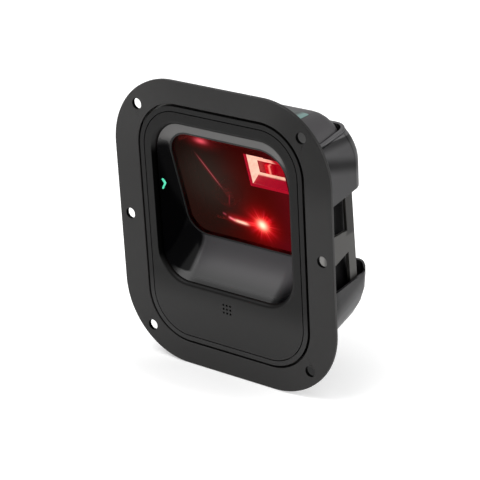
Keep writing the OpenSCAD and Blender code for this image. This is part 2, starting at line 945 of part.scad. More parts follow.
module chassis_panel(grow) {
    panel(box_x + grow, box_z + grow, box_top_r + grow, box_foot_r + grow);
}

module optics_chassis() {
    frame_front = ledge_back + snug;
    color([0.06, 0.05, 0.05])
        window_view() {
            difference() {
                union() {
                    slab(frame_front, frame_back) {
                        pane_panel(liner_t);
                        for (x = [-1, 1])
                            translate([x * ear_x, 0]) {
                                square([2 * ear_r, 2 * ear_z], center = true);
                                for (z = [-1, 1])
                                    translate([0, z * ear_z]) circle(r = ear_r);
                            }
                    }
                    slab(frame_back - eps, plate_back) chassis_panel(0);
                    for (x = [-1, 1])
                        translate([reflector_at[0] + reflector_base_at[0] + x * 15.2,
                            reflector_at[1] + reflector_base_at[1], plate_back - eps])
                            cylinder(r = 1.8, h = led_board_front - plate_back + eps);
                }
                slab(frame_front - 1, plate_front) chassis_panel(-chassis_wall);
                translate([reflector_at[0], reflector_at[1], 0])
                    slab(plate_front - 1, plate_back + 1)
                        square(reflector_mouth + [2 * slip, 2 * slip], center = true);
                translate([lens_at[0], lens_at[1], 0])
                    cylinder(r = barrel_r + slip, h = plate_back + 1);
                translate([aimer_at[0], aimer_at[1], 0])
                    cylinder(r = aimer_r + slip, h = plate_back + 1);
                for (x = [-1, 1], z = [-1, 1])
                    translate([x * ear_x, z * ear_z, 0])
                        cylinder(r = pilot_r + 0.2, h = 10);
            }
            for (x = [pipe_from + 1.5, -8.5])
                difference() {
                    translate([x - 0.8, pipe_z - pipe_r - 1, pipe_depth - pipe_r - 0.8])
                        cube([1.6, 2 * pipe_r + 1.6, plate_front - pipe_depth + pipe_r + 0.8 + eps]);
                    translate([x - 2, pipe_z, pipe_depth])
                        rotate([0, 90, 0])
                            cylinder(r = pipe_r + snug, h = 4);
                }
            for (x = [-1, 1])
                translate([x * 14 - 1, upper_board_z[0] + 1, upper_board_front + board_t])
                    cube([2, 4, plate_front - upper_board_front - board_t + eps]);
        }
}

module chassis_screws() {
    color([0.6, 0.6, 0.62])
        window_view()
            for (x = [-1, 1], z = [-1, 1])
                translate([x * ear_x, z * ear_z, 0]) {
                    translate([0, 0, 2.1])
                        cylinder(r = pilot_r - snug, h = frame_back - 2.1);
                    translate([0, 0, frame_back])
                        cylinder(r = 2.1, h = 1.4);
                }
}

function square_ring(size, z) =
    [for (s = [[1, 1], [-1, 1], [-1, -1], [1, -1]]) [s[0] * size[0] / 2, s[1] * size[1] / 2, z]];
module led_reflector() {
    rim = 1.4;
    t = 0.8;
    room = [t, t];
    back = plate_front + reflector_d;
    mouth = square_ring(reflector_mouth, 0);
    base = square_ring(reflector_base, 0);
    inner_mouth = square_ring(reflector_mouth - room, 0);
    inner_base = square_ring(reflector_base - room, 0);
    off = [reflector_base_at[0], reflector_base_at[1], 0];
    color([0.85, 0.85, 0.87])
        window_view()
            translate([reflector_at[0], reflector_at[1], 0])
                difference() {
                    union() {
                        slab(plate_front - 0.6, plate_front)
                            square(reflector_mouth + [2 * rim, 2 * rim], center = true);
                        loft([[for (p = mouth) p + [0, 0, plate_front - eps]],
                            [for (p = base) p + off + [0, 0, back]]]);
                    }
                    loft([[for (p = inner_mouth) p + [0, 0, plate_front - 1]],
                        [for (p = inner_mouth) p + [0, 0, plate_front]],
                        [for (p = inner_base) p + off + [0, 0, back + eps]]]);
                }
}

module at_reflector_base() {
    window_view()
        translate([reflector_at[0] + reflector_base_at[0], reflector_at[1] + reflector_base_at[1], 0])
            children();
}

module illumination_led() {
    color([1, 0.8, 0.8])
        at_reflector_base()
            translate([-2.5, -2.5, led_board_front - 1.4])
                cube([5, 5, 1.4]);
}

module illumination_board() {
    color([0.1, 0.35, 0.2])
        at_reflector_base()
            slab(led_board_front, led_board_front + board_t)
                rounded(36, 12, 2);
}

module lens_barrel() {
    base = 16;
    color([0.1, 0.1, 0.1])
        window_view()
            translate([lens_at[0], lens_at[1], 0])
                difference() {
                    union() {
                        slab(barrel_front, plate_back) circle(r = barrel_r);
                        slab(plate_back, sensor_front) square(base, center = true);
                    }
                    slab(barrel_front - 1, sensor_front + 1) circle(r = barrel_bore_r);
                    translate([0, 0, barrel_front - eps])
                        cylinder(r1 = barrel_bore_r + 0.9, r2 = barrel_bore_r, h = 0.9);
                }
}

module front_lens() {
    curve_r = 9;
    edge = barrel_front + 2.4;
    drop = sqrt(curve_r * curve_r - barrel_bore_r * barrel_bore_r);
    color([0.5, 0.45, 0.6, 0.6])
        window_view()
            translate([lens_at[0], lens_at[1], 0])
                intersection() {
                    translate([0, 0, edge + drop]) sphere(r = curve_r);
                    translate([0, 0, barrel_front]) cylinder(r = barrel_bore_r - snug, h = 4);
                }
}

module image_sensor() {
    color([0.15, 0.15, 0.2])
        window_view()
            translate([lens_at[0] - 3.5, lens_at[1] - 3, sensor_front - 1.2])
                cube([7, 6, 1.2]);
}

module imager_board() {
    color([0.1, 0.35, 0.2])
        window_view()
            translate([-5, -14.5, 0])
                slab(sensor_front, sensor_front + board_t)
                    rounded(36, 27, 2);
}

module aimer_led() {
    color([1, 0.3, 0.3])
        window_view()
            translate([aimer_at[0], aimer_at[1], 0]) {
                translate([0, 0, aimer_front + aimer_r])
                    cylinder(r = aimer_r, h = sensor_front - aimer_front - aimer_r);
                translate([0, 0, aimer_front + aimer_r])
                    sphere(r = aimer_r);
                slab(sensor_front - 1.2, sensor_front) circle(r = aimer_r + 0.4);
            }
}

module light_pipe() {
    color([1, 0.85, 0.85, 0.8])
        window_view()
            translate([pipe_from, pipe_z, pipe_depth])
                rotate([0, 90, 0])
                    cylinder(r = pipe_r, h = pipe_to - pipe_from);
}

module upper_led_board() {
    color([0.1, 0.35, 0.2])
        window_view()
            translate([-upper_board_x, upper_board_z[0], upper_board_front])
                cube([2 * upper_board_x, upper_board_z[1] - upper_board_z[0], board_t]);
}

module upper_leds() {
    color([1, 0.4, 0.4])
        window_view()
            for (x = [-1, 1])
                translate([x * upper_led_at[0] - 4.5, upper_led_at[1] - 1.7, upper_board_front - 1.2])
                    cube([9, 3.4, 1.2]);
}

// Electronics
module main_board() {
    color([0.1, 0.35, 0.2])
        face_view()
            slab(board_y - board_t, board_y)
                difference() {
                    union() {
                        translate([-board_x, board_step])
                            square([2 * board_x, board_top - board_step]);
                        translate([-board_foot_x, board_foot])
                            square([2 * board_foot_x, board_step - board_foot]);
                    }
                    mirrored()
                        for (at = standoffs)
                            translate(at) circle(r = pilot_r + 0.2);
                }
}

module board_chips() {
    front = board_y - board_t;
    color([0.08, 0.08, 0.09])
        for (chip = [[-16, 17, 14, 11, 1.4], [3, 18, 10, 8, 1.2], [board_x - 16.5, 16, 9, 9, 1.6],
                [8.5 - board_foot_x, 3, 7, 6, 1.8], [1, 4, board_foot_x - 9.5, 5, 2.4]])
            translate([chip[0], front - chip[4], board_foot + chip[1]])
                cube([chip[2], chip[4], chip[3]]);
}

module board_screws() {
    front = board_y - board_t;
    color([0.6, 0.6, 0.62])
        face_view()
            mirrored()
                for (at = standoffs)
                    translate([at[0], at[1], 0]) {
                        translate([0, 0, front])
                            cylinder(r = pilot_r - snug, h = 5.5);
                        translate([0, 0, front - 1.4])
                            cylinder(r = 2.1, h = 1.4);
                    }
}

// The ribbon's folds, as depth and height, from the imager board down to the main board
imager_back = sensor_front + board_t;
ribbon_top = [window_y + imager_back * cos(window_lean) + 26 * sin(window_lean),
    window_z + imager_back * sin(window_lean) - 26 * cos(window_lean)];
module ribbon_cable() {
    t = 0.35;
    lean = [sin(window_lean), -cos(window_lean)];
    a = ribbon_top + [snug, 0];
    b = a + 4 * lean;
    c = [board_y + 2.5, board_top + 1.5];
    d = [board_y, board_top - 1];
    e = [board_y, board_top - 6];
    color([0.75, 0.5, 0.2])
        translate([-18, 0, 0])
            rotate([90, 0, 90])
                linear_extrude(10)
                    polygon([a, b, c, d, e,
                        e + [t, 0], d + [t, 0], c + [t, -t / 2], b + [t, -t / 2], a + [t, 0]]);
}

module beeper() {
    color([0.07, 0.07, 0.07])
        face_view()
            translate([0, grille_z, cover_t + mesh_t])
                cylinder(r = beeper_r, h = beeper_h);
}

module beeper_mesh() {
    color([0.03, 0.03, 0.03])
        face_view()
            translate([0, grille_z, cover_t])
                cylinder(r = beeper_r, h = mesh_t);
}

module cable_socket() {
    h = socket_top - socket_foot;
    color([0.12, 0.12, 0.13])
        difference() {
            translate([-socket_w / 2, board_y, socket_foot])
                cube([socket_w, socket_y - board_y, h]);
            translate([-5.9, board_y + 2.4, socket_foot + 1.5])
                cube([11.8, 20, 7.4]);
            translate([-1.7, board_y + 4, socket_foot + 8.8])
                cube([3.4, 20, 1.8]);
        }
}

flange_plate();
flange_studs();
stud_nuts();
cradle_frame();
upper_saddle();
lower_saddle();
saddle_screws();
front_shell();
housing_seal();
rear_shell();
housing_screws();
top_light();
top_led_board();
face_cover();
recess_liner();
window_gasket();
scan_window();
status_light();
status_led_board();
optics_chassis();
chassis_screws();
led_reflector();
illumination_led();
illumination_board();
lens_barrel();
front_lens();
image_sensor();
imager_board();
aimer_led();
light_pipe();
upper_led_board();
upper_leds();
main_board();
board_chips();
board_screws();
ribbon_cable();
beeper();
beeper_mesh();
cable_socket();
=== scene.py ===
# %% [markdown]
# # A flush-mount barcode scanner
# This notebook dresses the imported model of a hands-free scanner: a head with a scooped recess and a
# leaning red window, held in a cradle behind a six-hole flange. The solids give every size and place.
# What is added here is finish: powder coat, moulded plastic, gloss, a lit red window, painted light and
# shade, and the studio's light.

# %% Open the frame
import bpy
import bmesh
import json
import math
from mathutils import Matrix, Vector


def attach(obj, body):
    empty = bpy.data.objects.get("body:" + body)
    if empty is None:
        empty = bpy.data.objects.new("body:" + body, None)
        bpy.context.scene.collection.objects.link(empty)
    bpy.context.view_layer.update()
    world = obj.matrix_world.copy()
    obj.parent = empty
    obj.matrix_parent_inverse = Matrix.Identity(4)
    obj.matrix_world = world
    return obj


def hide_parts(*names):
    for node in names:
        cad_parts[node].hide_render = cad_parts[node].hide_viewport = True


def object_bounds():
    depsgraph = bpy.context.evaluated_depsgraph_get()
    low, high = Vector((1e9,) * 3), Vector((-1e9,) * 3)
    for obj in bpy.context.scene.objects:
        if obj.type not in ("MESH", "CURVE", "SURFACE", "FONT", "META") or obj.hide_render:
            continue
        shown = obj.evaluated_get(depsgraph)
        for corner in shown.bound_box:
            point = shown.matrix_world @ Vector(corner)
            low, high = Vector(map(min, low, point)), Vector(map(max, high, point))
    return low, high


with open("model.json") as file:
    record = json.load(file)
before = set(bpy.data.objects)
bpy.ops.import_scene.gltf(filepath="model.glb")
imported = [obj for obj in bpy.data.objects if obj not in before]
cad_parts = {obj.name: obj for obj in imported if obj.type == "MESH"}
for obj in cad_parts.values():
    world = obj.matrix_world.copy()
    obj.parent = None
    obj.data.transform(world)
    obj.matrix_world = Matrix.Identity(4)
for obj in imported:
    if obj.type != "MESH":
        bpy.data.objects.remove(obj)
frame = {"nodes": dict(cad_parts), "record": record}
cad_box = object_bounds()
nodes = frame["nodes"]


def in_mm(box):
    return [[round(v * 1000, 1) for v in corner] for corner in box]


print("nodes:", len(nodes), "box in mm:", in_mm(cad_box))

# %% [markdown]
# ## The camera
# The picture was taken from the upper right with a long lens. A camera is easiest to place by the
# two angles it is turned through, so its axes are built from azimuth, elevation and a small roll.
# The sensor is as wide as the square frame, so the focal length alone sets how large the flange is.

# %% Place the camera
camera_at = Vector((0.55258, -0.65810, 0.35530))
camera_azimuth = math.radians(39.466)
camera_elevation = math.radians(22.588)
camera_roll = math.radians(-3.144)
sensor_mm, lens_mm = 36, 144.05
nearest_seen = 0.01

towards = Vector((math.sin(camera_azimuth) * math.cos(camera_elevation),
                  -math.cos(camera_azimuth) * math.cos(camera_elevation),
                  math.sin(camera_elevation)))
level = Vector((math.cos(camera_azimuth), math.sin(camera_azimuth), 0))
upright = towards.cross(level)
right = math.cos(camera_roll) * level + math.sin(camera_roll) * upright
up = math.cos(camera_roll) * upright - math.sin(camera_roll) * level

camera = bpy.data.objects.new("camera", bpy.data.cameras.new("camera"))
camera.data.sensor_width = sensor_mm
camera.data.lens = lens_mm
camera.data.clip_start = nearest_seen
camera.matrix_world = Matrix.Translation(camera_at) @ Matrix((right, up, towards)).transposed().to_4x4()
bpy.context.scene.collection.objects.link(camera)
bpy.context.scene.camera = camera
bpy.context.scene.view_settings.view_transform = "Standard"
print("camera is", round(camera_at.length, 3), "m from the flange's centre")

# %% [markdown]
# ## The stage
# A product picture on white needs a floor that is as bright as the background, or the horizon shows.
# The floor is one large plane just under the flange. Rays from the camera, and rays that pass through
# the object, see it white. Mirrored rays see it less bright, as they would past a studio's black
# cards. Other rays see plain paper, so that it still takes a shadow. Both the floor and the world
# need that choice, so it comes first, with the helpers that every material here is made with.

# %% Helpers for shader nodes
def shader(name):
    material = bpy.data.materials.new(name)
    material.use_nodes = True
    tree = material.node_tree
    return material, tree, tree.nodes["Principled BSDF"]


def add(tree, kind, **settings):
    """A node of that kind: settings are its properties, and inputs is a dict of socket values."""
    node = tree.nodes.new(kind)
    values = settings.pop("inputs", {})
    for key, value in settings.items():
        setattr(node, key, value)
    for key, value in values.items():
        if isinstance(value, bpy.types.NodeSocket):
            tree.links.new(value, node.inputs[key])
        else:
            node.inputs[key].default_value = value
    return node


def calc(tree, operation, *values):
    """One step of arithmetic on sockets or numbers."""
    return add(tree, "ShaderNodeMath", operation=operation, inputs=dict(enumerate(values))).outputs[0]


def seen_share(tree, mirrored):
    """1 for rays from the camera and rays through glass, mirrored for mirrored rays, 0 for others."""
    path = add(tree, "ShaderNodeLightPath").outputs
    direct = calc(tree, "MAXIMUM", path["Is Camera Ray"], path["Is Transmission Ray"])
    gloss = calc(tree, "MULTIPLY", path["Is Glossy Ray"], mirrored)
    return calc(tree, "MAXIMUM", direct, gloss)


def report(material):
    print(material.name, "has", len(material.node_tree.nodes), "shader nodes")


print("materials before the first finish:", len(bpy.data.materials))

# %% [markdown]
# Its paper is matt and a little grey, with just enough light of its own to come out white.

# %% Lay the floor
floor_gap = 0.0002
floor_size = 6.0
paper_grey = 0.8
paper_rough, paper_gloss = 0.9, 0.1
paper_mirrored, paper_lift = 0.3, 0.42

floor_mesh = bmesh.new()
bmesh.ops.create_grid(floor_mesh, x_segments=1, y_segments=1, size=floor_size / 2)
floor_data = bpy.data.meshes.new("floor")
floor_mesh.to_mesh(floor_data)
floor_mesh.free()
floor = bpy.data.objects.new("floor", floor_data)
floor.location.z = cad_box[0][2] - floor_gap
bpy.context.scene.collection.objects.link(floor)

paper, tree, paper_shader = shader("paper")
paper_shader.inputs["Roughness"].default_value = paper_rough
paper_shader.inputs["Specular IOR Level"].default_value = paper_gloss
paper_shader.inputs["Emission Color"].default_value = (1, 1, 1, 1)
lift = calc(tree, "MULTIPLY", seen_share(tree, paper_mirrored), paper_lift)
floor_data.materials.append(paper)
print("floor at", round(floor.location.z * 1000, 1), "mm")

# %% [markdown]
# A white world lights everything evenly, as a tent would. Two large soft lamps give it a direction:
# one above for the upper edges and the scoop, and one on the right for the side of the head.

# %% Light the room
room_light = 0.55
room_mirrored = 0.25

world = bpy.data.worlds.new("studio")
bpy.context.scene.world = world
world.use_nodes = True
tree = world.node_tree
background = tree.nodes["Background"]
background.inputs["Color"].default_value = (1, 1, 1, 1)
strength = add(tree, "ShaderNodeMapRange",
               inputs={"Value": seen_share(tree, room_mirrored), "To Min": room_light, "To Max": 1.0})
tree.links.new(strength.outputs[0], background.inputs["Strength"])


def softbox(name, at, size, watts):
    """A soft lamp of that width and height, aimed at the flange's centre."""
    lamp = bpy.data.lights.new(name, "AREA")
    lamp.shape = "RECTANGLE"
    lamp.size, lamp.size_y = size
    lamp.energy = watts
    thing = bpy.data.objects.new(name, lamp)
    thing.location = at
    thing.rotation_euler = (-Vector(at)).to_track_quat("-Z", "Y").to_euler()
    bpy.context.scene.collection.objects.link(thing)


softbox("softbox_above", at=(-0.25, -0.35, 0.9), size=(0.9, 0.7), watts=9)
softbox("softbox_right", at=(0.9, 0.25, 0.35), size=(0.6, 0.8), watts=6)

# %% [markdown]
# ## Finishes
# Moulded and painted parts are never one flat colour. Each finish here is a base colour that drifts
# a little over a few millimetres, a roughness that drifts with it, and a fine bump at the size of
# the real grain. All of it is worked out from the place on the object, so no picture is needed.

# %% Grain and drift
def place(tree):
    return add(tree, "ShaderNodeTexCoord").outputs["Object"]


def noise(tree, at, size_mm, detail=2.0):
    return add(tree, "ShaderNodeTexNoise",
               inputs={"Vector": at, "Scale": 1000 / size_mm, "Detail": detail}).outputs["Fac"]


def blend_colour(tree, share, low, high):
    """Low where the share is 0 and high where it is 1. Sockets 6 and 7 are the two colours."""
    mix = add(tree, "ShaderNodeMix", data_type="RGBA", inputs={"Factor": share})
    for socket, value in ((mix.inputs[6], low), (mix.inputs[7], high)):
        if isinstance(value, bpy.types.NodeSocket):
            tree.links.new(value, socket)
        else:
            socket.default_value = (*value, 1)
    return mix.outputs[2]


def stretch(tree, value, span, low=0.0, high=1.0, steps="LINEAR"):
    """Low up to the start of the span, high from its end on, and a straight rise between them."""
    return add(tree, "ShaderNodeMapRange", interpolation_type=steps,
               inputs={"Value": value, "From Min": span[0], "From Max": span[1],
                       "To Min": low, "To Max": high}).outputs[0]


def fade(tree, value, span, low=0.0, high=1.0):
    """The same with a soft start and a soft end."""
    return stretch(tree, value, span, low, high, "SMOOTHSTEP")


def bumped(tree, skin, height, depth_mm):
    bump = add(tree, "ShaderNodeBump", inputs={"Height": height, "Distance": depth_mm / 1000})
    tree.links.new(bump.outputs[0], skin.inputs["Normal"])


print("a grain of 0.2 mm is a noise scale of", round(1000 / 0.2))

# %% [markdown]
# Most pieces of this scanner are black or dark grey plastic, so one function makes all of those
# finishes. They differ in colour, in how rough they are, and in the size and depth of their grain.

# %% A moulded finish
drift_mm = 9
colour_drift, rough_drift = 0.12, 0.06


def moulded(name, colour, rough, grain_mm, depth_mm):
    """Plastic or paint: a drifting colour, a roughness that follows the grain, and a fine bump."""
    material, tree, skin = shader(name)
    at = place(tree)
    slow = noise(tree, at, drift_mm, detail=3)
    fine = noise(tree, at, grain_mm)
    dark = [c * (1 - colour_drift) for c in colour]
    light = [c * (1 + colour_drift) for c in colour]
    tree.links.new(blend_colour(tree, slow, dark, light), skin.inputs["Base Color"])
    tree.links.new(stretch(tree, fine, (0, 1), rough - rough_drift, rough + rough_drift),
                   skin.inputs["Roughness"])
    bumped(tree, skin, fine, depth_mm)
    return material, tree, skin


seal_rubber = moulded("seal_rubber", (0.006, 0.006, 0.006), rough=0.6, grain_mm=0.2, depth_mm=0.006)[0]
circuit_board = moulded("circuit_board", (0.006, 0.05, 0.022), rough=0.35, grain_mm=0.6, depth_mm=0.004)[0]
chip_plastic = moulded("chip_plastic", (0.012, 0.012, 0.013), rough=0.5, grain_mm=0.15, depth_mm=0.004)[0]
ribbon_film = moulded("ribbon_film", (0.32, 0.13, 0.03), rough=0.3, grain_mm=0.5, depth_mm=0.002)[0]
report(ribbon_film)

# %% [markdown]
# ## Places on the object
# Places on the leaning window and behind it are easiest to say across, up and square to it. Some
# finishes also follow the way that a surface faces, or fade between two heights.

# %% Where a point is and how it faces
window_centre = Vector((0, 0.01125, 0.0183))
window_lean = math.radians(14.4)
lean_sine, lean_cosine = math.sin(window_lean), math.cos(window_lean)


def window_place(tree):
    """Across, up and behind the window, in millimetres from the middle of its outer face."""
    moved = add(tree, "ShaderNodeVectorMath", operation="SUBTRACT",
                inputs={0: place(tree), 1: window_centre})
    across = (1000, 0, 0)
    upwards = (0, -1000 * lean_sine, 1000 * lean_cosine)
    behind = (0, 1000 * lean_cosine, 1000 * lean_sine)
    return [add(tree, "ShaderNodeVectorMath", operation="DOT_PRODUCT",
                inputs={0: moved.outputs[0], 1: axis}).outputs["Value"]
            for axis in (across, upwards, behind)]


def facing(tree):
    return add(tree, "ShaderNodeSeparateXYZ",
               inputs={0: add(tree, "ShaderNodeTexCoord").outputs["Normal"]}).outputs


def millimetres(tree):
    scaled = add(tree, "ShaderNodeVectorMath", operation="SCALE", inputs={0: place(tree), "Scale": 1000})
    return add(tree, "ShaderNodeSeparateXYZ", inputs={0: scaled.outputs[0]}).outputs


print("middle of the window in mm:", in_mm([window_centre])[0])

# %% [markdown]
# Shade and light are painted as shares between 0 and 1. A few small formulas make them: a product of
# shares, a distance and a soft falloff. The last ones put a share to use, by tinting a colour or by
# dimming a whole finish.

# %% Small formulas
def product(tree, *shares):
    total = shares[0]
    for share in shares[1:]:
        total = calc(tree, "MULTIPLY", total, share)
    return total


def rest_of(tree, share):
    return calc(tree, "SUBTRACT", 1, share)


def away_from(tree, value, middle):
    """How far a value is from a middle one, on either side."""
    return calc(tree, "ABSOLUTE", calc(tree, "SUBTRACT", value, middle))


def distance(tree, place_2d, centre, squash=(1, 1)):
    """Distance in mm from a centre, each axis divided by its squash first."""
    across, upwards = [calc(tree, "DIVIDE", calc(tree, "SUBTRACT", value, middle), part)
                       for value, middle, part in zip(place_2d, centre, squash)]
    squares = [calc(tree, "MULTIPLY", side, side) for side in (across, upwards)]
    return calc(tree, "SQRT", calc(tree, "ADD", *squares))


def falloff(tree, far, reach, power=2.0):
    """1 at the centre, then exp(-(distance / reach) ** power)."""
    share = calc(tree, "POWER", calc(tree, "DIVIDE", far, reach), power)
    return calc(tree, "EXPONENT", calc(tree, "MULTIPLY", share, -1.0))


def tinted(tree, share, colour):
    """A colour scaled by a share."""
    return add(tree, "ShaderNodeVectorMath", operation="SCALE",
               inputs={0: colour, "Scale": share}).outputs[0]


def sum_of(tree, *colours):
    total = colours[0]
    for colour in colours[1:]:
        total = add(tree, "ShaderNodeVectorMath", operation="ADD", inputs={0: total, 1: colour}).outputs[0]
    return total


def dimmed(tree, skin, share, gloss=0.5):
    """Scale the linked base colour and the specular level by a share."""
    colour = skin.inputs["Base Color"].links[0].from_socket
    tree.links.new(tinted(tree, share, colour), skin.inputs["Base Color"])
    tree.links.new(product(tree, share, gloss), skin.inputs["Specular IOR Level"])


print("at its reach, a falloff is down to", round(math.exp(-1), 2))

# %% [markdown]
# The white floor would wash out the shade close under the head and round the flange's foot, so the
# paper is a little darker there: one small dark patch under the head, and a faint wide one.

# %% Shade on the floor
patch_middle_y, patch_depth = 25, (6, 15)
patch_left_x, patch_right_x = (-4, 22), (44.2, 46.2)
patch_slant = 0.41
patch_light = 0.04
foot_at, foot_squash, foot_reach = (-16, -12), (3.2, 1), (6, 34)
foot_light = 0.74

tree = paper.node_tree
at_mm = millimetres(tree)
slanted_x = calc(tree, "MULTIPLY_ADD", at_mm["Y"], patch_slant, at_mm["X"])
right_end = fade(tree, slanted_x, patch_right_x, patch_light, 1)
left_end = fade(tree, at_mm["X"], patch_left_x, 1, patch_light)
rows = fade(tree, away_from(tree, at_mm["Y"], patch_middle_y), patch_depth, patch_light, 1)
under_head = calc(tree, "MAXIMUM", rows, calc(tree, "MAXIMUM", right_end, left_end))
from_foot = distance(tree, (at_mm["X"], at_mm["Y"]), foot_at, foot_squash)
shade = product(tree, under_head, fade(tree, from_foot, foot_reach, foot_light, 1))
tree.links.new(tinted(tree, shade, (paper_grey,) * 3), paper_shader.inputs["Base Color"])
tree.links.new(product(tree, shade, lift), paper_shader.inputs["Emission Strength"])
report(paper)

# %% [markdown]
# ## The flange
# The flange is powder-coated sheet. The walls of its holes get painted shade, nearly black, found by the
# distance from the nearest hole: the places come from the record, and folding the plate in four lets
# one corner stand for all. Its far corner gets painted shade and its near corner painted light, as the
# lamps would leave them.

# %% The flange's powder coat
holes = {mount["name"]: mount["dims"] for mount in frame["record"]["mounts"]}
corner_hole = [holes["flange_screws"][side] / 2 for side in ("spacing_x_mm", "spacing_y_mm")]
side_hole = (holes["side_screws"]["spacing_x_mm"] / 2, 0)
hole_edge = holes["side_screws"]["hole_r_mm"] + 0.2
flat_on, hole_light = 0.7, 0.03
far_corner_at, far_corner_mm, far_corner_light = (56, 54), (12, 34), (0.68, 0.97)
near_corner_at, near_corner_mm, near_corner_light = (-60, 66), (5, 45), (1.22, 1)

flange_paint, tree, skin = moulded("flange_paint", (0.0065, 0.0058, 0.0054), rough=0.50,
                                   grain_mm=0.22, depth_mm=0.012)
at_mm = millimetres(tree)
on_face = (at_mm["X"], at_mm["Z"])
folded = [calc(tree, "ABSOLUTE", value) for value in on_face]
nearest = calc(tree, "MINIMUM", distance(tree, folded, corner_hole), distance(tree, folded, side_hole))
outside = calc(tree, "GREATER_THAN", nearest, hole_edge)
flat = calc(tree, "GREATER_THAN", calc(tree, "ABSOLUTE", facing(tree)["Y"]), flat_on)
# painted shade: the hole walls are painted nearly black
hole_shade = stretch(tree, calc(tree, "MAXIMUM", outside, flat), (0, 1), hole_light, 1)
# painted shade at the far corner and a painted highlight at the near corner
far_corner_shade = fade(tree, distance(tree, on_face, far_corner_at), far_corner_mm, *far_corner_light)
near_corner_highlight = fade(tree, distance(tree, on_face, near_corner_at), near_corner_mm, *near_corner_light)
dimmed(tree, skin, product(tree, hole_shade, far_corner_shade, near_corner_highlight), gloss=0.45)
report(flange_paint)

# %% [markdown]
# ## The face and its lip
# The face is painted black where it rolls into the recess on the left, a painted reflection of the dark
# window that the roll mirrors, and the roll at the recess's foot, which faces up, gets a painted dark
# reflection too. The face is also painted darker above than at its foot, as painted light from the floor
# that the foot catches.

# %% The face
wall_top_z, wall_foot_z = (35, 43), (-26, -17)
left_roll_facing, left_roll_dark = (0.08, 0.22), 0.96
foot_roll_facing, foot_roll_light = (0.1, 0.4), 0.55
face_foot_z, face_foot_light, face_light = (-44, -26), 1.06, 0.6

face_plastic, tree, skin = moulded("face_plastic", (0.0035, 0.0031, 0.0028), rough=0.48,
                                   grain_mm=0.18, depth_mm=0.010)
faces = facing(tree)
height = millimetres(tree)["Z"]
beside_wall = product(tree, fade(tree, height, wall_top_z, 1, 0), fade(tree, height, wall_foot_z))
# painted dark reflections on the left roll and the foot roll, and painted floor light low on the face
dark_reflection_left = product(tree, beside_wall, fade(tree, faces["X"], left_roll_facing, 0, left_roll_dark))
dark_reflection_foot = fade(tree, faces["Z"], foot_roll_facing, 1, foot_roll_light)
floor_light_share = fade(tree, height, face_foot_z, face_foot_light, face_light)
dimmed(tree, skin, product(tree, rest_of(tree, dark_reflection_left), dark_reflection_foot, floor_light_share), gloss=0.40)
report(face_plastic)

# %% [markdown]
# The lip is a thin band round the face, and it is also the front half of the housing. In front it gets
# the same painted shade as the face, darker above, and behind the flange its flank faces the lamps and gets
# painted light.

# %% The lip
lip_foot_z, lip_light = (-46, -26), 0.55
flank_y, flank_light = (8, 10), 1.5

lip_plastic, tree, skin = moulded("lip_plastic", (0.0030, 0.0027, 0.0025), rough=0.42,
                                  grain_mm=0.18, depth_mm=0.006)
at_mm = millimetres(tree)
# painted light on the flank behind the flange, and painted shade higher up on the lip's front
painted_flank_light = stretch(tree, at_mm["Y"], flank_y, 0, flank_light)
lip_shade = fade(tree, at_mm["Z"], lip_foot_z, 1, lip_light)
dimmed(tree, skin, calc(tree, "MAXIMUM", painted_flank_light, lip_shade), gloss=0.46)
report(lip_plastic)

# %% [markdown]
# ## Behind the flange
# Behind the flange the parts shade each other, more than a few soft lamps would show, so that shade is
# painted. The cradle has painted shade down inside the cup, its rear post has painted shade in its upper
# half, and its front edge, which shows through the flange's side hole, is painted light.

# %% The cradle
in_cup_z, in_cup_light = (-26, -19), 0.12
rear_post_y, rear_post_light, below_middle_z = (31.5, 33.5), 0.5, (-1, 2)
behind_hole_y, behind_hole_light = (13, 15), 2.6

cradle_plastic, tree, skin = moulded("cradle_plastic", (0.034, 0.032, 0.029), rough=0.45,
                                     grain_mm=0.3, depth_mm=0.006)
at_mm = millimetres(tree)
# painted shade in the cup and on the rear post's upper half, and painted light on the edge behind the side
# hole
cradle_cup_shade = fade(tree, at_mm["Z"], in_cup_z, in_cup_light, 1)
rear_post_shade = fade(tree, at_mm["Y"], rear_post_y, 1, rear_post_light)
below_middle = fade(tree, at_mm["Z"], below_middle_z, 1, 0)
post_shade = calc(tree, "MAXIMUM", rear_post_shade, below_middle)
light_behind_hole = stretch(tree, at_mm["Y"], behind_hole_y, behind_hole_light, 1)
dimmed(tree, skin, product(tree, light_behind_hole, cradle_cup_shade, post_shade))
report(cradle_plastic)

# %% [markdown]
# The saddles' reflections of the room are painted as long soft bands. One painted dark band runs where
# their walls start to lean, their inner sides get painted shade, and a thin painted highlight on the
# bead, with painted shade under it, follows the upper edge. The wall gets a painted dark line just before
# its rear corner turns and painted shade on the corner, and the cup gets painted shade close behind the
# flange.

# %% The saddles
band_z, band_slope, band_reach, band_light = 44.5, -0.25, (0.3, 5.5), 0.3
inner_side, inner_light = (-12, -4), 0.05
bead_shade_z, bead_foot_z, bead_z = (44.5, 48.0), (48.8, 49.2), (48.9, 49.3)
bead_share = 0.6
cup_shade_y, cup_shade_share, cup_top_z = (17, 25), 0.5, (-22, -20)
corner_starts, corner_line, corner_line_light = 0.04, (0.01, 0.07), 0.5
corner_turns, corner_light = (0.10, 0.30), 0.8

saddle_plastic, tree, skin = moulded("saddle_plastic", (0.022, 0.021, 0.0225), rough=0.34,
                                     grain_mm=0.3, depth_mm=0.005)
at_mm = millimetres(tree)
faces = facing(tree)
# a painted dark reflection band where the walls start to lean
leaning_z = calc(tree, "MULTIPLY_ADD", at_mm["Y"], band_slope, band_z)
from_band = calc(tree, "ABSOLUTE", calc(tree, "SUBTRACT", at_mm["Z"], leaning_z))
dark_reflection_band = fade(tree, from_band, band_reach, band_light, 1)
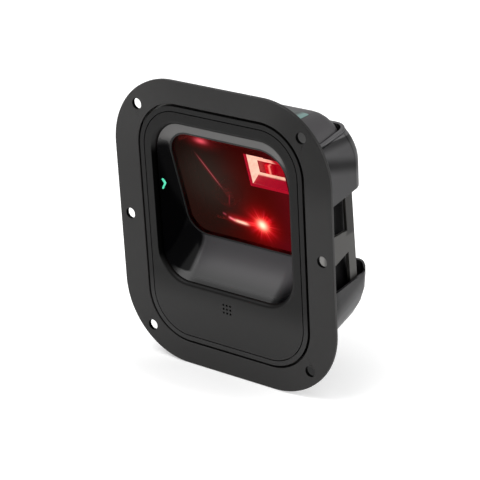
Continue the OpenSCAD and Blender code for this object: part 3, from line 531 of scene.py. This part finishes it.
# painted shade on the inner sides and in the cup close behind the flange
outer = fade(tree, product(tree, at_mm["X"], faces["X"]), inner_side, inner_light, 1)
near_flange = fade(tree, at_mm["Y"], cup_shade_y, cup_shade_share, 0)
cup_shade = rest_of(tree, product(tree, near_flange, stretch(tree, at_mm["Z"], cup_top_z, 1, 0)))
# a painted highlight on the bead and painted shade under it
shade_under_bead = product(tree, fade(tree, at_mm["Z"], bead_shade_z, 0, bead_share),
                     stretch(tree, at_mm["Z"], bead_foot_z, 1, 0))
bead_highlight = stretch(tree, at_mm["Z"], bead_z, 0, bead_share)
bead_light = calc(tree, "SUBTRACT", calc(tree, "ADD", bead_highlight, 1), shade_under_bead)
# a painted dark line before the rear corner, and painted shade on the corner itself
dark_line_before_corner = stretch(tree, away_from(tree, faces["Y"], corner_starts), corner_line, corner_line_light, 1)
corner = stretch(tree, faces["Y"], corner_turns, 1, corner_light)
dimmed(tree, skin, product(tree, outer, dark_reflection_band, cup_shade, bead_light, dark_line_before_corner, corner))
report(saddle_plastic)

# %% [markdown]
# The rear of the housing is seen twice: its top in full light, and its sides deep behind the
# cradle's windows, where they get painted shade and are nearly black.

# %% The rear shell
shell_flank_x, shell_low_z = (43, 45), (16, 18)
between_plates_light = 0.1

shell_plastic, tree, skin = moulded("shell_plastic", (0.030, 0.028, 0.030), rough=0.40,
                                    grain_mm=0.25, depth_mm=0.006)
at_mm = millimetres(tree)
on_flank = stretch(tree, calc(tree, "ABSOLUTE", at_mm["X"]), shell_flank_x)
# painted shade on the sides between the cradle's plates
shade_between_plates = product(tree, on_flank, stretch(tree, at_mm["Z"], shell_low_z, 1, 0))
dimmed(tree, skin, stretch(tree, shade_between_plates, (0, 1), 1, between_plates_light))
report(shell_plastic)

# %% [markdown]
# ## Steel
# Turned and rolled steel shows fine lines along the way it was worked. A noise that is squeezed
# along one axis gives them, and a dark oxide only changes the colour under the same lines.

# %% Worked steel
line_squeeze = (1, 9, 1)
line_mm, line_depth_mm = 0.8, 0.004
line_dark, line_rough = 0.8, 0.08


def worked_steel(name, colour, rough):
    material, tree, skin = shader(name)
    squeeze = add(tree, "ShaderNodeMapping", inputs={"Vector": place(tree), "Scale": line_squeeze})
    lines = noise(tree, squeeze.outputs[0], line_mm, detail=4)
    dark = [c * line_dark for c in colour]
    tree.links.new(blend_colour(tree, lines, dark, colour), skin.inputs["Base Color"])
    tree.links.new(stretch(tree, lines, (0, 1), rough - line_rough, rough + line_rough),
                   skin.inputs["Roughness"])
    skin.inputs["Metallic"].default_value = 1.0
    bumped(tree, skin, lines, line_depth_mm)
    return material


steel = worked_steel("steel", (0.60, 0.60, 0.61), rough=0.3)
black_steel = worked_steel("black_steel", (0.07, 0.07, 0.075), rough=0.38)
report(black_steel)

# %% [markdown]
# ## Light behind the pane
# Everything behind the pane is lit by the scanner's own red diodes. Light that bounces in a closed
# box is slow to trace and comes out in specks, so each piece there glows faintly by itself instead,
# more to the right where the illuminator is.

# %% The faint glow inside
warm_x, hot_x = (-26, 6), (6, 30)
brown, dark_red, deep_red = (0.024, 0.026, 0.019), (0.072, 0.010, 0.007), (0.125, 0.012, 0.026)
upper_v, upper_light = (-4, 24), 0.5


def inside_glow(tree, across, upwards):
    """The faint light behind the pane: brown at the left, red at the right, less of it at the top."""
    left_to_middle = blend_colour(tree, fade(tree, across, warm_x), brown, dark_red)
    whole = blend_colour(tree, fade(tree, across, hot_x), left_to_middle, deep_red)
    return tinted(tree, fade(tree, upwards, upper_v, 1, upper_light), whole)


def painted_glow(tree, skin, colour, strength=1.0):
    """Light that a surface gives off: the colour may vary over it, the strength is one number."""
    tree.links.new(colour, skin.inputs["Emission Color"])
    skin.inputs["Emission Strength"].default_value = strength


inside_black, tree, skin = shader("inside_black")
skin.inputs["Base Color"].default_value = (0.003, 0.002, 0.002, 1)
skin.inputs["Roughness"].default_value = 0.5
skin.inputs["Specular IOR Level"].default_value = 0.1
across, upwards, behind = window_place(tree)
painted_glow(tree, skin, inside_glow(tree, across, upwards))
bumped(tree, skin, noise(tree, place(tree), size_mm=0.4), depth_mm=0.01)
report(inside_black)

# %% [markdown]
# ## The recess
# The recess is one glossy black moulding, but it doesn't look black all over. Its left wall faces
# the dark window and stays black, while the scoop at its foot and the band over the window are painted
# grey, as painted reflections of the studio's light, and the scoop's front edge gets a painted dark
# reflection. The painted reflections, the roughness and the gloss follow the way that the surface faces.
# Its ledge under the pane glows as faintly as the rest of the inside.

# %% Gloss and painted reflections of the recess
turn_span, turn_lead, rim_y = (0.06, 0.22), 0.45, (3.2, 6.5)
top_band_z, deep_y = (38, 45), (5, 13)
under_pane_mm = (2.3, 2.5)
front_edge_y, front_edge_z, front_edge_x = (3.0, 5.5), (-26, -22), (-30, -20)
front_edge_dark = 0.65
wall_black, scoop_front = (0.0012, 0.0012, 0.0015), (0.002, 0.002, 0.0022)
scoop_reflection_grey, band_reflection_grey = (0.044, 0.042, 0.045), (0.12, 0.117, 0.115)
lit_rough, lit_gloss, band_gloss = (0.16, 0.30), (0.03, 0.27), (0, 0.17)

recess_plastic, tree, skin = shader("recess_plastic")
at_mm = millimetres(tree)
turn = calc(tree, "SUBTRACT", facing(tree)["X"], fade(tree, at_mm["Y"], rim_y, turn_lead, 0))
front_on = fade(tree, turn, turn_span, 1, 0)
top_band = fade(tree, at_mm["Z"], top_band_z)
# painted reflections: grey on the scoop and on the band over the window, dark at the scoop's front edge
scoop_reflection = blend_colour(tree, fade(tree, at_mm["Y"], deep_y), scoop_front, scoop_reflection_grey)
reflection_grey = blend_colour(tree, top_band, scoop_reflection, band_reflection_grey)
across, upwards, behind = window_place(tree)
under_pane = stretch(tree, behind, under_pane_mm)
dark_reflection_front = product(tree, fade(tree, at_mm["Y"], front_edge_y, front_edge_dark, 0),
                     fade(tree, at_mm["Z"], front_edge_z, 1, 0), fade(tree, at_mm["X"], front_edge_x))
lit = product(tree, calc(tree, "MAXIMUM", front_on, top_band),
              rest_of(tree, dark_reflection_front), rest_of(tree, under_pane))
tree.links.new(blend_colour(tree, lit, wall_black, reflection_grey), skin.inputs["Base Color"])
tree.links.new(stretch(tree, lit, (0, 1), *lit_rough), skin.inputs["Roughness"])
polish = calc(tree, "ADD", stretch(tree, lit, (0, 1), *lit_gloss),
              stretch(tree, top_band, (0, 1), *band_gloss))
tree.links.new(polish, skin.inputs["Specular IOR Level"])
painted_glow(tree, skin, tinted(tree, under_pane, inside_glow(tree, across, upwards)))
bumped(tree, skin, noise(tree, place(tree), size_mm=0.3), depth_mm=0.0015)
report(recess_plastic)

# %% [markdown]
# ## The red window
# The pane is clear acrylic dyed red, so it is clear glass with a red base colour. It neither bends
# nor mirrors light here, because its rare reflections of the lamps would be dots in the picture, and
# a faint painted haze stands for them. Light that strays inside the pane is painted in the same way.
# The thin lights need two formulas of their own.

# %% Rays and streaks
def rays(tree, place_2d, centre, count, sharpness):
    """Thin rays round a centre: 1 on a ray and 0 between two."""
    angle = calc(tree, "ARCTAN2", calc(tree, "SUBTRACT", place_2d[1], centre[1]),
                 calc(tree, "SUBTRACT", place_2d[0], centre[0]))
    wave = calc(tree, "ABSOLUTE", calc(tree, "COSINE", calc(tree, "MULTIPLY", angle, count / 2)))
    return calc(tree, "POWER", wave, sharpness)


def streak(tree, place_2d, start, end, width):
    """1 on the line from start to end, fading within its width and towards both ends."""
    line = Vector(end) - Vector(start)
    middle = (Vector(start) + Vector(end)) / 2
    way = line.normalized()
    du, dv = [calc(tree, "SUBTRACT", value, m) for value, m in zip(place_2d, middle)]
    along = calc(tree, "ADD", calc(tree, "MULTIPLY", du, way.x), calc(tree, "MULTIPLY", dv, way.y))
    aside = calc(tree, "SUBTRACT", calc(tree, "MULTIPLY", dv, way.x), calc(tree, "MULTIPLY", du, way.y))
    thin = falloff(tree, calc(tree, "ABSOLUTE", aside), width)
    reach = falloff(tree, calc(tree, "ABSOLUTE", along), line.length / 2, power=4)
    return product(tree, thin, reach)


print("rays run round the aiming diode, and streaks between two points of the pane")

# %% [markdown]
# Three short lists hold what glows in the pane: soft spots, which are the haze, the round glow where
# the aiming diode shines through and a blot under the upper diode, then fine rays round the aiming
# diode, and last a few thin streaks. Each is a formula of the distance from its place on the pane,
# and their colours are added up.

# %% The dyed pane
star_at, blot_at, haze_at = (12.6, -15.7), (-14.5, 27.6), (-15, 6)
round_spot, wide_spot = (1, 1), (2.3, 1)
front_face_mm = (0.6, 0.7)
# Each spot has its centre, its squash, its reach in mm, its power and its colour.
spots = [
    (haze_at, round_spot, 17, 2.5, (0.007, 0.012, 0.010)),
    (star_at, round_spot, 2.5, 2, (0.2, 1.1, 0.72)),
    (star_at, round_spot, 2.95, 1, (2.9, 0.001, 0.010)),
    (blot_at, wide_spot, 1.35, 2, (0.72, 0.09, 0.12)),
    (blot_at, wide_spot, 3.2, 2, (0.13, 0.001, 0.004)),
]
# Each set of rays has its count, its sharpness, its reach in mm, its power and its colour.
ray_sets = [
    (26, 5, 6.4, 2.5, (0.30, 0.006, 0.016)),
    (10, 14, 7.5, 3, (0.30, 0.014, 0.024)),
]
# Each streak has its start and end on the pane, its width in mm, and its colour.
streaks = [
    ((-18.9, 18.0), (-8.6, 2.6), 0.25, (0.32, 0.07, 0.08)),
    ((-18.9, 18.0), (-8.6, 2.6), 1.1, (0.08, 0.001, 0.004)),
    ((-4.3, -1.6), (-6.0, -8.0), 0.35, (0.12, 0.004, 0.01)),
    ((-11.6, -13.9), (-9.6, -14.6), 0.6, (0.25, 0.03, 0.05)),
    ((-8.2, -15.7), (-4.6, -16.9), 0.7, (0.85, 0.20, 0.24)),
    ((-4.6, -16.8), (3.2, -17.4), 0.85, (0.95, 0.75, 0.55)),
    ((-8.0, -15.8), (12.0, -17.0), 2.4, (0.34, 0.001, 0.006)),
]

red_window, tree, skin = shader("red_window")
skin.inputs["Base Color"].default_value = (0.75, 0.22, 0.22, 1)
skin.inputs["Transmission Weight"].default_value = 1.0
skin.inputs["IOR"].default_value = 1.0
skin.inputs["Roughness"].default_value = 0.015
across, upwards, behind = window_place(tree)
on_pane = (across, upwards)
lights = [(falloff(tree, distance(tree, on_pane, centre, squash), reach, power), colour)
          for centre, squash, reach, power, colour in spots]
from_star = distance(tree, on_pane, star_at)
lights += [(product(tree, rays(tree, on_pane, star_at, count, sharpness),
                    falloff(tree, from_star, reach, power)), colour)
           for count, sharpness, reach, power, colour in ray_sets]
lights += [(streak(tree, on_pane, start, end, width), colour) for start, end, width, colour in streaks]
glow = sum_of(tree, *[tinted(tree, share, colour) for share, colour in lights])
painted_glow(tree, skin, tinted(tree, stretch(tree, behind, front_face_mm, 1, 0), glow))
report(red_window)

# %% [markdown]
# ## Behind the pane
# The mirror cup's walls face different ways and so send different amounts of the illuminator's light
# out. The left wall, the left end of the top wall and the rear edge of the foot are nearly white,
# and the rest is red. Lamps so close to the walls would be hard to set, so each wall gets its own
# light by the way it faces.

# %% The mirror cup
left_wall_facing, top_wall_facing, foot_wall_facing = (0.3, 0.5), (-0.75, -0.45), (0.3, 0.5)
rear_edge_y, past_corner_x = (24.9, 25.4), (13, 17)
shine_mm, shine_span = 2.2, (0.6, 1.3)
white_hot, rear_hot, top_hot = (1.3, 2.9, 2.2), (1.2, 2.6, 1.9), (1.2, 2.2, 1.7)
top_red, wall_red = (0.40, 0.002, 0.05), (0.27, 0.000, 0.070)

mirror_cup, tree, skin = shader("mirror_cup")
skin.inputs["Base Color"].default_value = (0.3, 0.05, 0.05, 1)
skin.inputs["Roughness"].default_value = 0.3
faces = facing(tree)
at_mm = millimetres(tree)
left_wall = fade(tree, faces["X"], left_wall_facing)
top_wall = fade(tree, faces["Z"], top_wall_facing, 1, 0)
foot_wall = fade(tree, faces["Z"], foot_wall_facing)
rear_edge = product(tree, foot_wall, fade(tree, at_mm["Y"], rear_edge_y))
top_shine = blend_colour(tree, fade(tree, at_mm["X"], past_corner_x), top_hot, top_red)
walls = blend_colour(tree, top_wall, wall_red, top_shine)
walls = blend_colour(tree, rear_edge, walls, rear_hot)
walls = blend_colour(tree, left_wall, walls, white_hot)
uneven = stretch(tree, noise(tree, place(tree), shine_mm, detail=3), (0, 1), *shine_span)
painted_glow(tree, skin, tinted(tree, uneven, walls))
report(mirror_cup)

# %% [markdown]
# The diodes, the arrow and the light bar are small bodies of milky plastic with light in them. They
# glow in one colour, with a slow veil so that the colour isn't flat. The diode in the cup has one
# bright line, and the light bar is brightest at its end.

# %% Diodes and lights
veil_mm, veil_dark = 1.2, 0.85
body_share = 0.3
led_line_x, led_line_w, led_edge_x = 12.2, 0.6, (11.8, 12.6)
led_left, led_right, led_line = (0.72, 0.01, 0.05), (0.36, 0.001, 0.03), (0.8, 1.2, 0.9)
bar_end_x, bar_middle_light, bar_end_light = (28.5, 32), 0.04, 0.9


def glowing(name, colour, strength=1.0, rough=0.25):
    material, tree, skin = shader(name)
    skin.inputs["Base Color"].default_value = (*[c * body_share for c in colour], 1)
    skin.inputs["Roughness"].default_value = rough
    veil = noise(tree, place(tree), veil_mm)
    painted_glow(tree, skin, blend_colour(tree, veil, [c * veil_dark for c in colour], colour), strength)
    return material, tree, skin


# painted light: the illumination board glows red, as if lit by its diodes
lit_board = glowing("lit_board", (0.36, 0.001, 0.03))[0]
aimer_glow = glowing("aimer_glow", (0.30, 0.02, 0.03))[0]
chevron_green = glowing("chevron_green", (0.10, 0.80, 0.50), strength=0.9)[0]

red_led, tree, skin = glowing("red_led", (0.75, 0.02, 0.05))
led_x = millimetres(tree)["X"]
bright_line = tinted(tree, falloff(tree, away_from(tree, led_x, led_line_x), led_line_w), led_line)
led_red = blend_colour(tree, stretch(tree, led_x, led_edge_x), led_left, led_right)
painted_glow(tree, skin, sum_of(tree, led_red, bright_line))

guide_green, tree, skin = glowing("guide_green", (0.14, 0.26, 0.24), rough=0.4)
skin.inputs["Base Color"].default_value = (0.03, 0.034, 0.034, 1)
from_middle = calc(tree, "ABSOLUTE", millimetres(tree)["X"])
to_the_end = fade(tree, from_middle, bar_end_x, bar_middle_light, bar_end_light)
tree.links.new(to_the_end, skin.inputs["Emission Strength"])
report(guide_green)

# %% [markdown]
# The light pipe is a clear rod that only its right end lights up. The lens is dark coated glass, so
# it gives back a little less of the inner light than the black frame round it.

# %% Light pipe and lens
pipe_lit_x, pipe_light = (-13, -9), (0.26, 0.09, 0.07)
lens_strength = 0.85

clear_guide, tree, skin = glowing("clear_guide", (0.06, 0.02, 0.02))
across, upwards, behind = window_place(tree)
lit_end = tinted(tree, fade(tree, across, pipe_lit_x), pipe_light)
painted_glow(tree, skin, sum_of(tree, inside_glow(tree, across, upwards), lit_end))

lens_glass, tree, skin = shader("lens_glass")
skin.inputs["Base Color"].default_value = (0.006, 0.003, 0.004, 1)
skin.inputs["Roughness"].default_value = 0.05
skin.inputs["Specular IOR Level"].default_value = 0.3
across, upwards, behind = window_place(tree)
painted_glow(tree, skin, inside_glow(tree, across, upwards), lens_strength)
report(lens_glass)

# %% [markdown]
# ## A smooth recess
# The recess is a loft: it starts as the rounded outline of its rim, bellies out, and ends as the
# outline of the leaning window. The solid has it in coarse steps, which a gloss finish would show as
# stripes. Here the same two outlines are joined again in many more steps, and the new moulding stands
# for the solid one. Each quarter turn of an outline has equally many points, so rings match up.

# %% The outline of the window
quarter_steps = 24
pane_half_w, pane_half_h = 36.2, 30.9
pane_top_r, pane_foot_r = 14.5, 11.0


def outline(half_w, top, foot, top_r, foot_r):
    """A rounded rectangle with its own radius at the top and at the foot, anticlockwise, in mm."""
    corners = [(half_w - top_r, top - top_r, top_r, 0), (top_r - half_w, top - top_r, top_r, 90),
               (foot_r - half_w, foot + foot_r, foot_r, 180), (half_w - foot_r, foot + foot_r, foot_r, 270)]
    turns = [90 * i / quarter_steps for i in range(quarter_steps + 1)]
    return [(x + r * math.cos(math.radians(start + turn)), z + r * math.sin(math.radians(start + turn)))
            for x, z, r, start in corners for turn in turns]


def pane_ring(grow, behind):
    """The window's outline, grown by so much, at a depth square to the window."""
    flat = outline(pane_half_w + grow, pane_half_h + grow, -pane_half_h - grow,
                   pane_top_r + grow, pane_foot_r + grow)
    return [(x, window_centre.y * 1000 - z * lean_sine + behind * lean_cosine,
             window_centre.z * 1000 + z * lean_cosine + behind * lean_sine) for x, z in flat]


print("points on a ring:", len(pane_ring(0, 0)))

# %% [markdown]
# Between the rim and the window, each ring is a mix of the two outlines. Its place across and up
# moves evenly, but its depth grows fast at first and then slows down, which bellies the walls out.

# %% Rings of the recess
rim_half, rim_top, rim_foot, rim_r = 40.6, 52.7, -30.1, 16.0
rim_depth = 2.45
belly = 1.35


def recess_ring(share, grow, back):
    """Between the rim (share 0) and the window (share 1)."""
    rim = outline(rim_half + grow, rim_top + grow, rim_foot - grow, rim_r + grow, rim_r + grow)
    pane = pane_ring(grow, 0)
    deep = 1 - (1 - share) ** belly
    return [(a[0] + (b[0] - a[0]) * share, rim_depth + (b[1] - rim_depth) * deep + back,
             a[1] + (b[2] - a[1]) * share) for a, b in zip(rim, pane)]


print("halfway down, the recess is", round(recess_ring(0.5, 0, 0)[0][1], 1), "mm deep at its right")

# %% [markdown]
# The moulding is one closed skin: down the inside from the rim, round the ledge that carries the
# gasket and the pane, and back up the outside. The inside swells by a hair between its two ends, so
# that it stays clear of the arrow-shaped light.

# %% Join the rings
depth_steps = 28
wall = 1.8
well, ledge_w, ledge_back = 2.65, 4.2, 4.45
outside_back = 1.6
clear_of_light = 0.14
crease = math.radians(40)


def ringed(name, rings):
    """A closed mesh through rings of equally many points, the last one joined to the first."""
    n = len(rings[0])
    pairs = [(k * n, (k + 1) % len(rings) * n) for k in range(len(rings))]
    faces = [(here + i, here + (i + 1) % n, there + (i + 1) % n, there + i)
             for here, there in pairs for i in range(n)]
    mesh = bpy.data.meshes.new(name)
    mesh.from_pydata([(x / 1000, y / 1000, z / 1000) for ring in rings for x, y, z in ring], [], faces)
    mesh.shade_smooth()
    mesh.set_sharp_from_angle(angle=crease)
    thing = bpy.data.objects.new(name, mesh)
    bpy.context.scene.collection.objects.link(thing)
    return thing


shares = [i / depth_steps for i in range(depth_steps + 1)]
liner_rings = [recess_ring(share, clear_of_light * math.sin(math.pi * share), 0) for share in shares]
liner_rings += [pane_ring(0, well), pane_ring(-ledge_w, well), pane_ring(-ledge_w, ledge_back)]
liner_rings += [pane_ring(wall, ledge_back)]
liner_rings += [recess_ring(share, wall, outside_back) for share in reversed(shares)]
liner_rings += [recess_ring(0, wall, 0)]
smooth_liner = ringed("recess_moulding", liner_rings)
smooth_liner.data.materials.append(recess_plastic)
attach(smooth_liner, "root")
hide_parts("recess_liner")
print("recess moulding:", len(smooth_liner.data.polygons), "faces")

# %% [markdown]
# ## Dressing the solids
# Each solid keeps its own mesh and gets its finish through its material slots. One table says which
# finish goes on which nodes, so that a missing one is easy to find.

# %% Who wears what
wears = {
    flange_paint: ["flange_plate"],
    steel: ["flange_studs", "stud_nuts", "chassis_screws", "board_screws"],
    black_steel: ["saddle_screws", "housing_screws"],
    cradle_plastic: ["cradle_frame"],
    saddle_plastic: ["upper_saddle", "lower_saddle"],
    lip_plastic: ["front_shell"],
    shell_plastic: ["rear_shell"],
    face_plastic: ["face_cover"],
    seal_rubber: ["housing_seal", "window_gasket", "beeper_mesh"],
    recess_plastic: ["recess_liner"],
    red_window: ["scan_window"],
    chevron_green: ["status_light"],
    guide_green: ["top_light"],
    inside_black: ["optics_chassis", "lens_barrel", "imager_board", "upper_led_board", "upper_leds"],
    lit_board: ["illumination_board"],
    circuit_board: ["top_led_board", "status_led_board", "main_board"],
    mirror_cup: ["led_reflector"],
    red_led: ["illumination_led"],
    aimer_glow: ["aimer_led"],
    clear_guide: ["light_pipe"],
    lens_glass: ["front_lens"],
    chip_plastic: ["image_sensor", "board_chips", "beeper", "cable_socket"],
    ribbon_film: ["ribbon_cable"],
}
for material, names in wears.items():
    for name in names:
        for slot in nodes[name].material_slots:
            slot.material = material
bare = set(nodes) - {name for names in wears.values() for name in names}
print("nodes dressed:", len(nodes) - len(bare), "left bare:", sorted(bare))

# %% [markdown]
# The solids' edges are sharp, though, and a real moulding has small radii that catch the light. A
# weld joins the faces, a bevel rounds the sharp edges, and weighted normals keep the flat faces flat.

# %% Round the edges
edge_radii_mm = {
    "flange_plate": 0.35, "front_shell": 0.25, "cradle_frame": 0.3,
    "upper_saddle": 0.25, "lower_saddle": 0.3, "rear_shell": 0.25,
}
weld_within = 0.000005
sharp_from = math.radians(32)


def rounded_edges(node, radius_mm):
    weld = node.modifiers.new("weld", "WELD")
    weld.merge_threshold = weld_within
    bevel = node.modifiers.new("edges", "BEVEL")
    bevel.width = radius_mm / 1000
    bevel.segments = 2
    bevel.limit_method = "ANGLE"
    bevel.angle_limit = sharp_from
    node.modifiers.new("normals", "WEIGHTED_NORMAL").keep_sharp = False


for name, radius in edge_radii_mm.items():
    rounded_edges(nodes[name], radius)
print("edges rounded on", len(edge_radii_mm), "nodes")
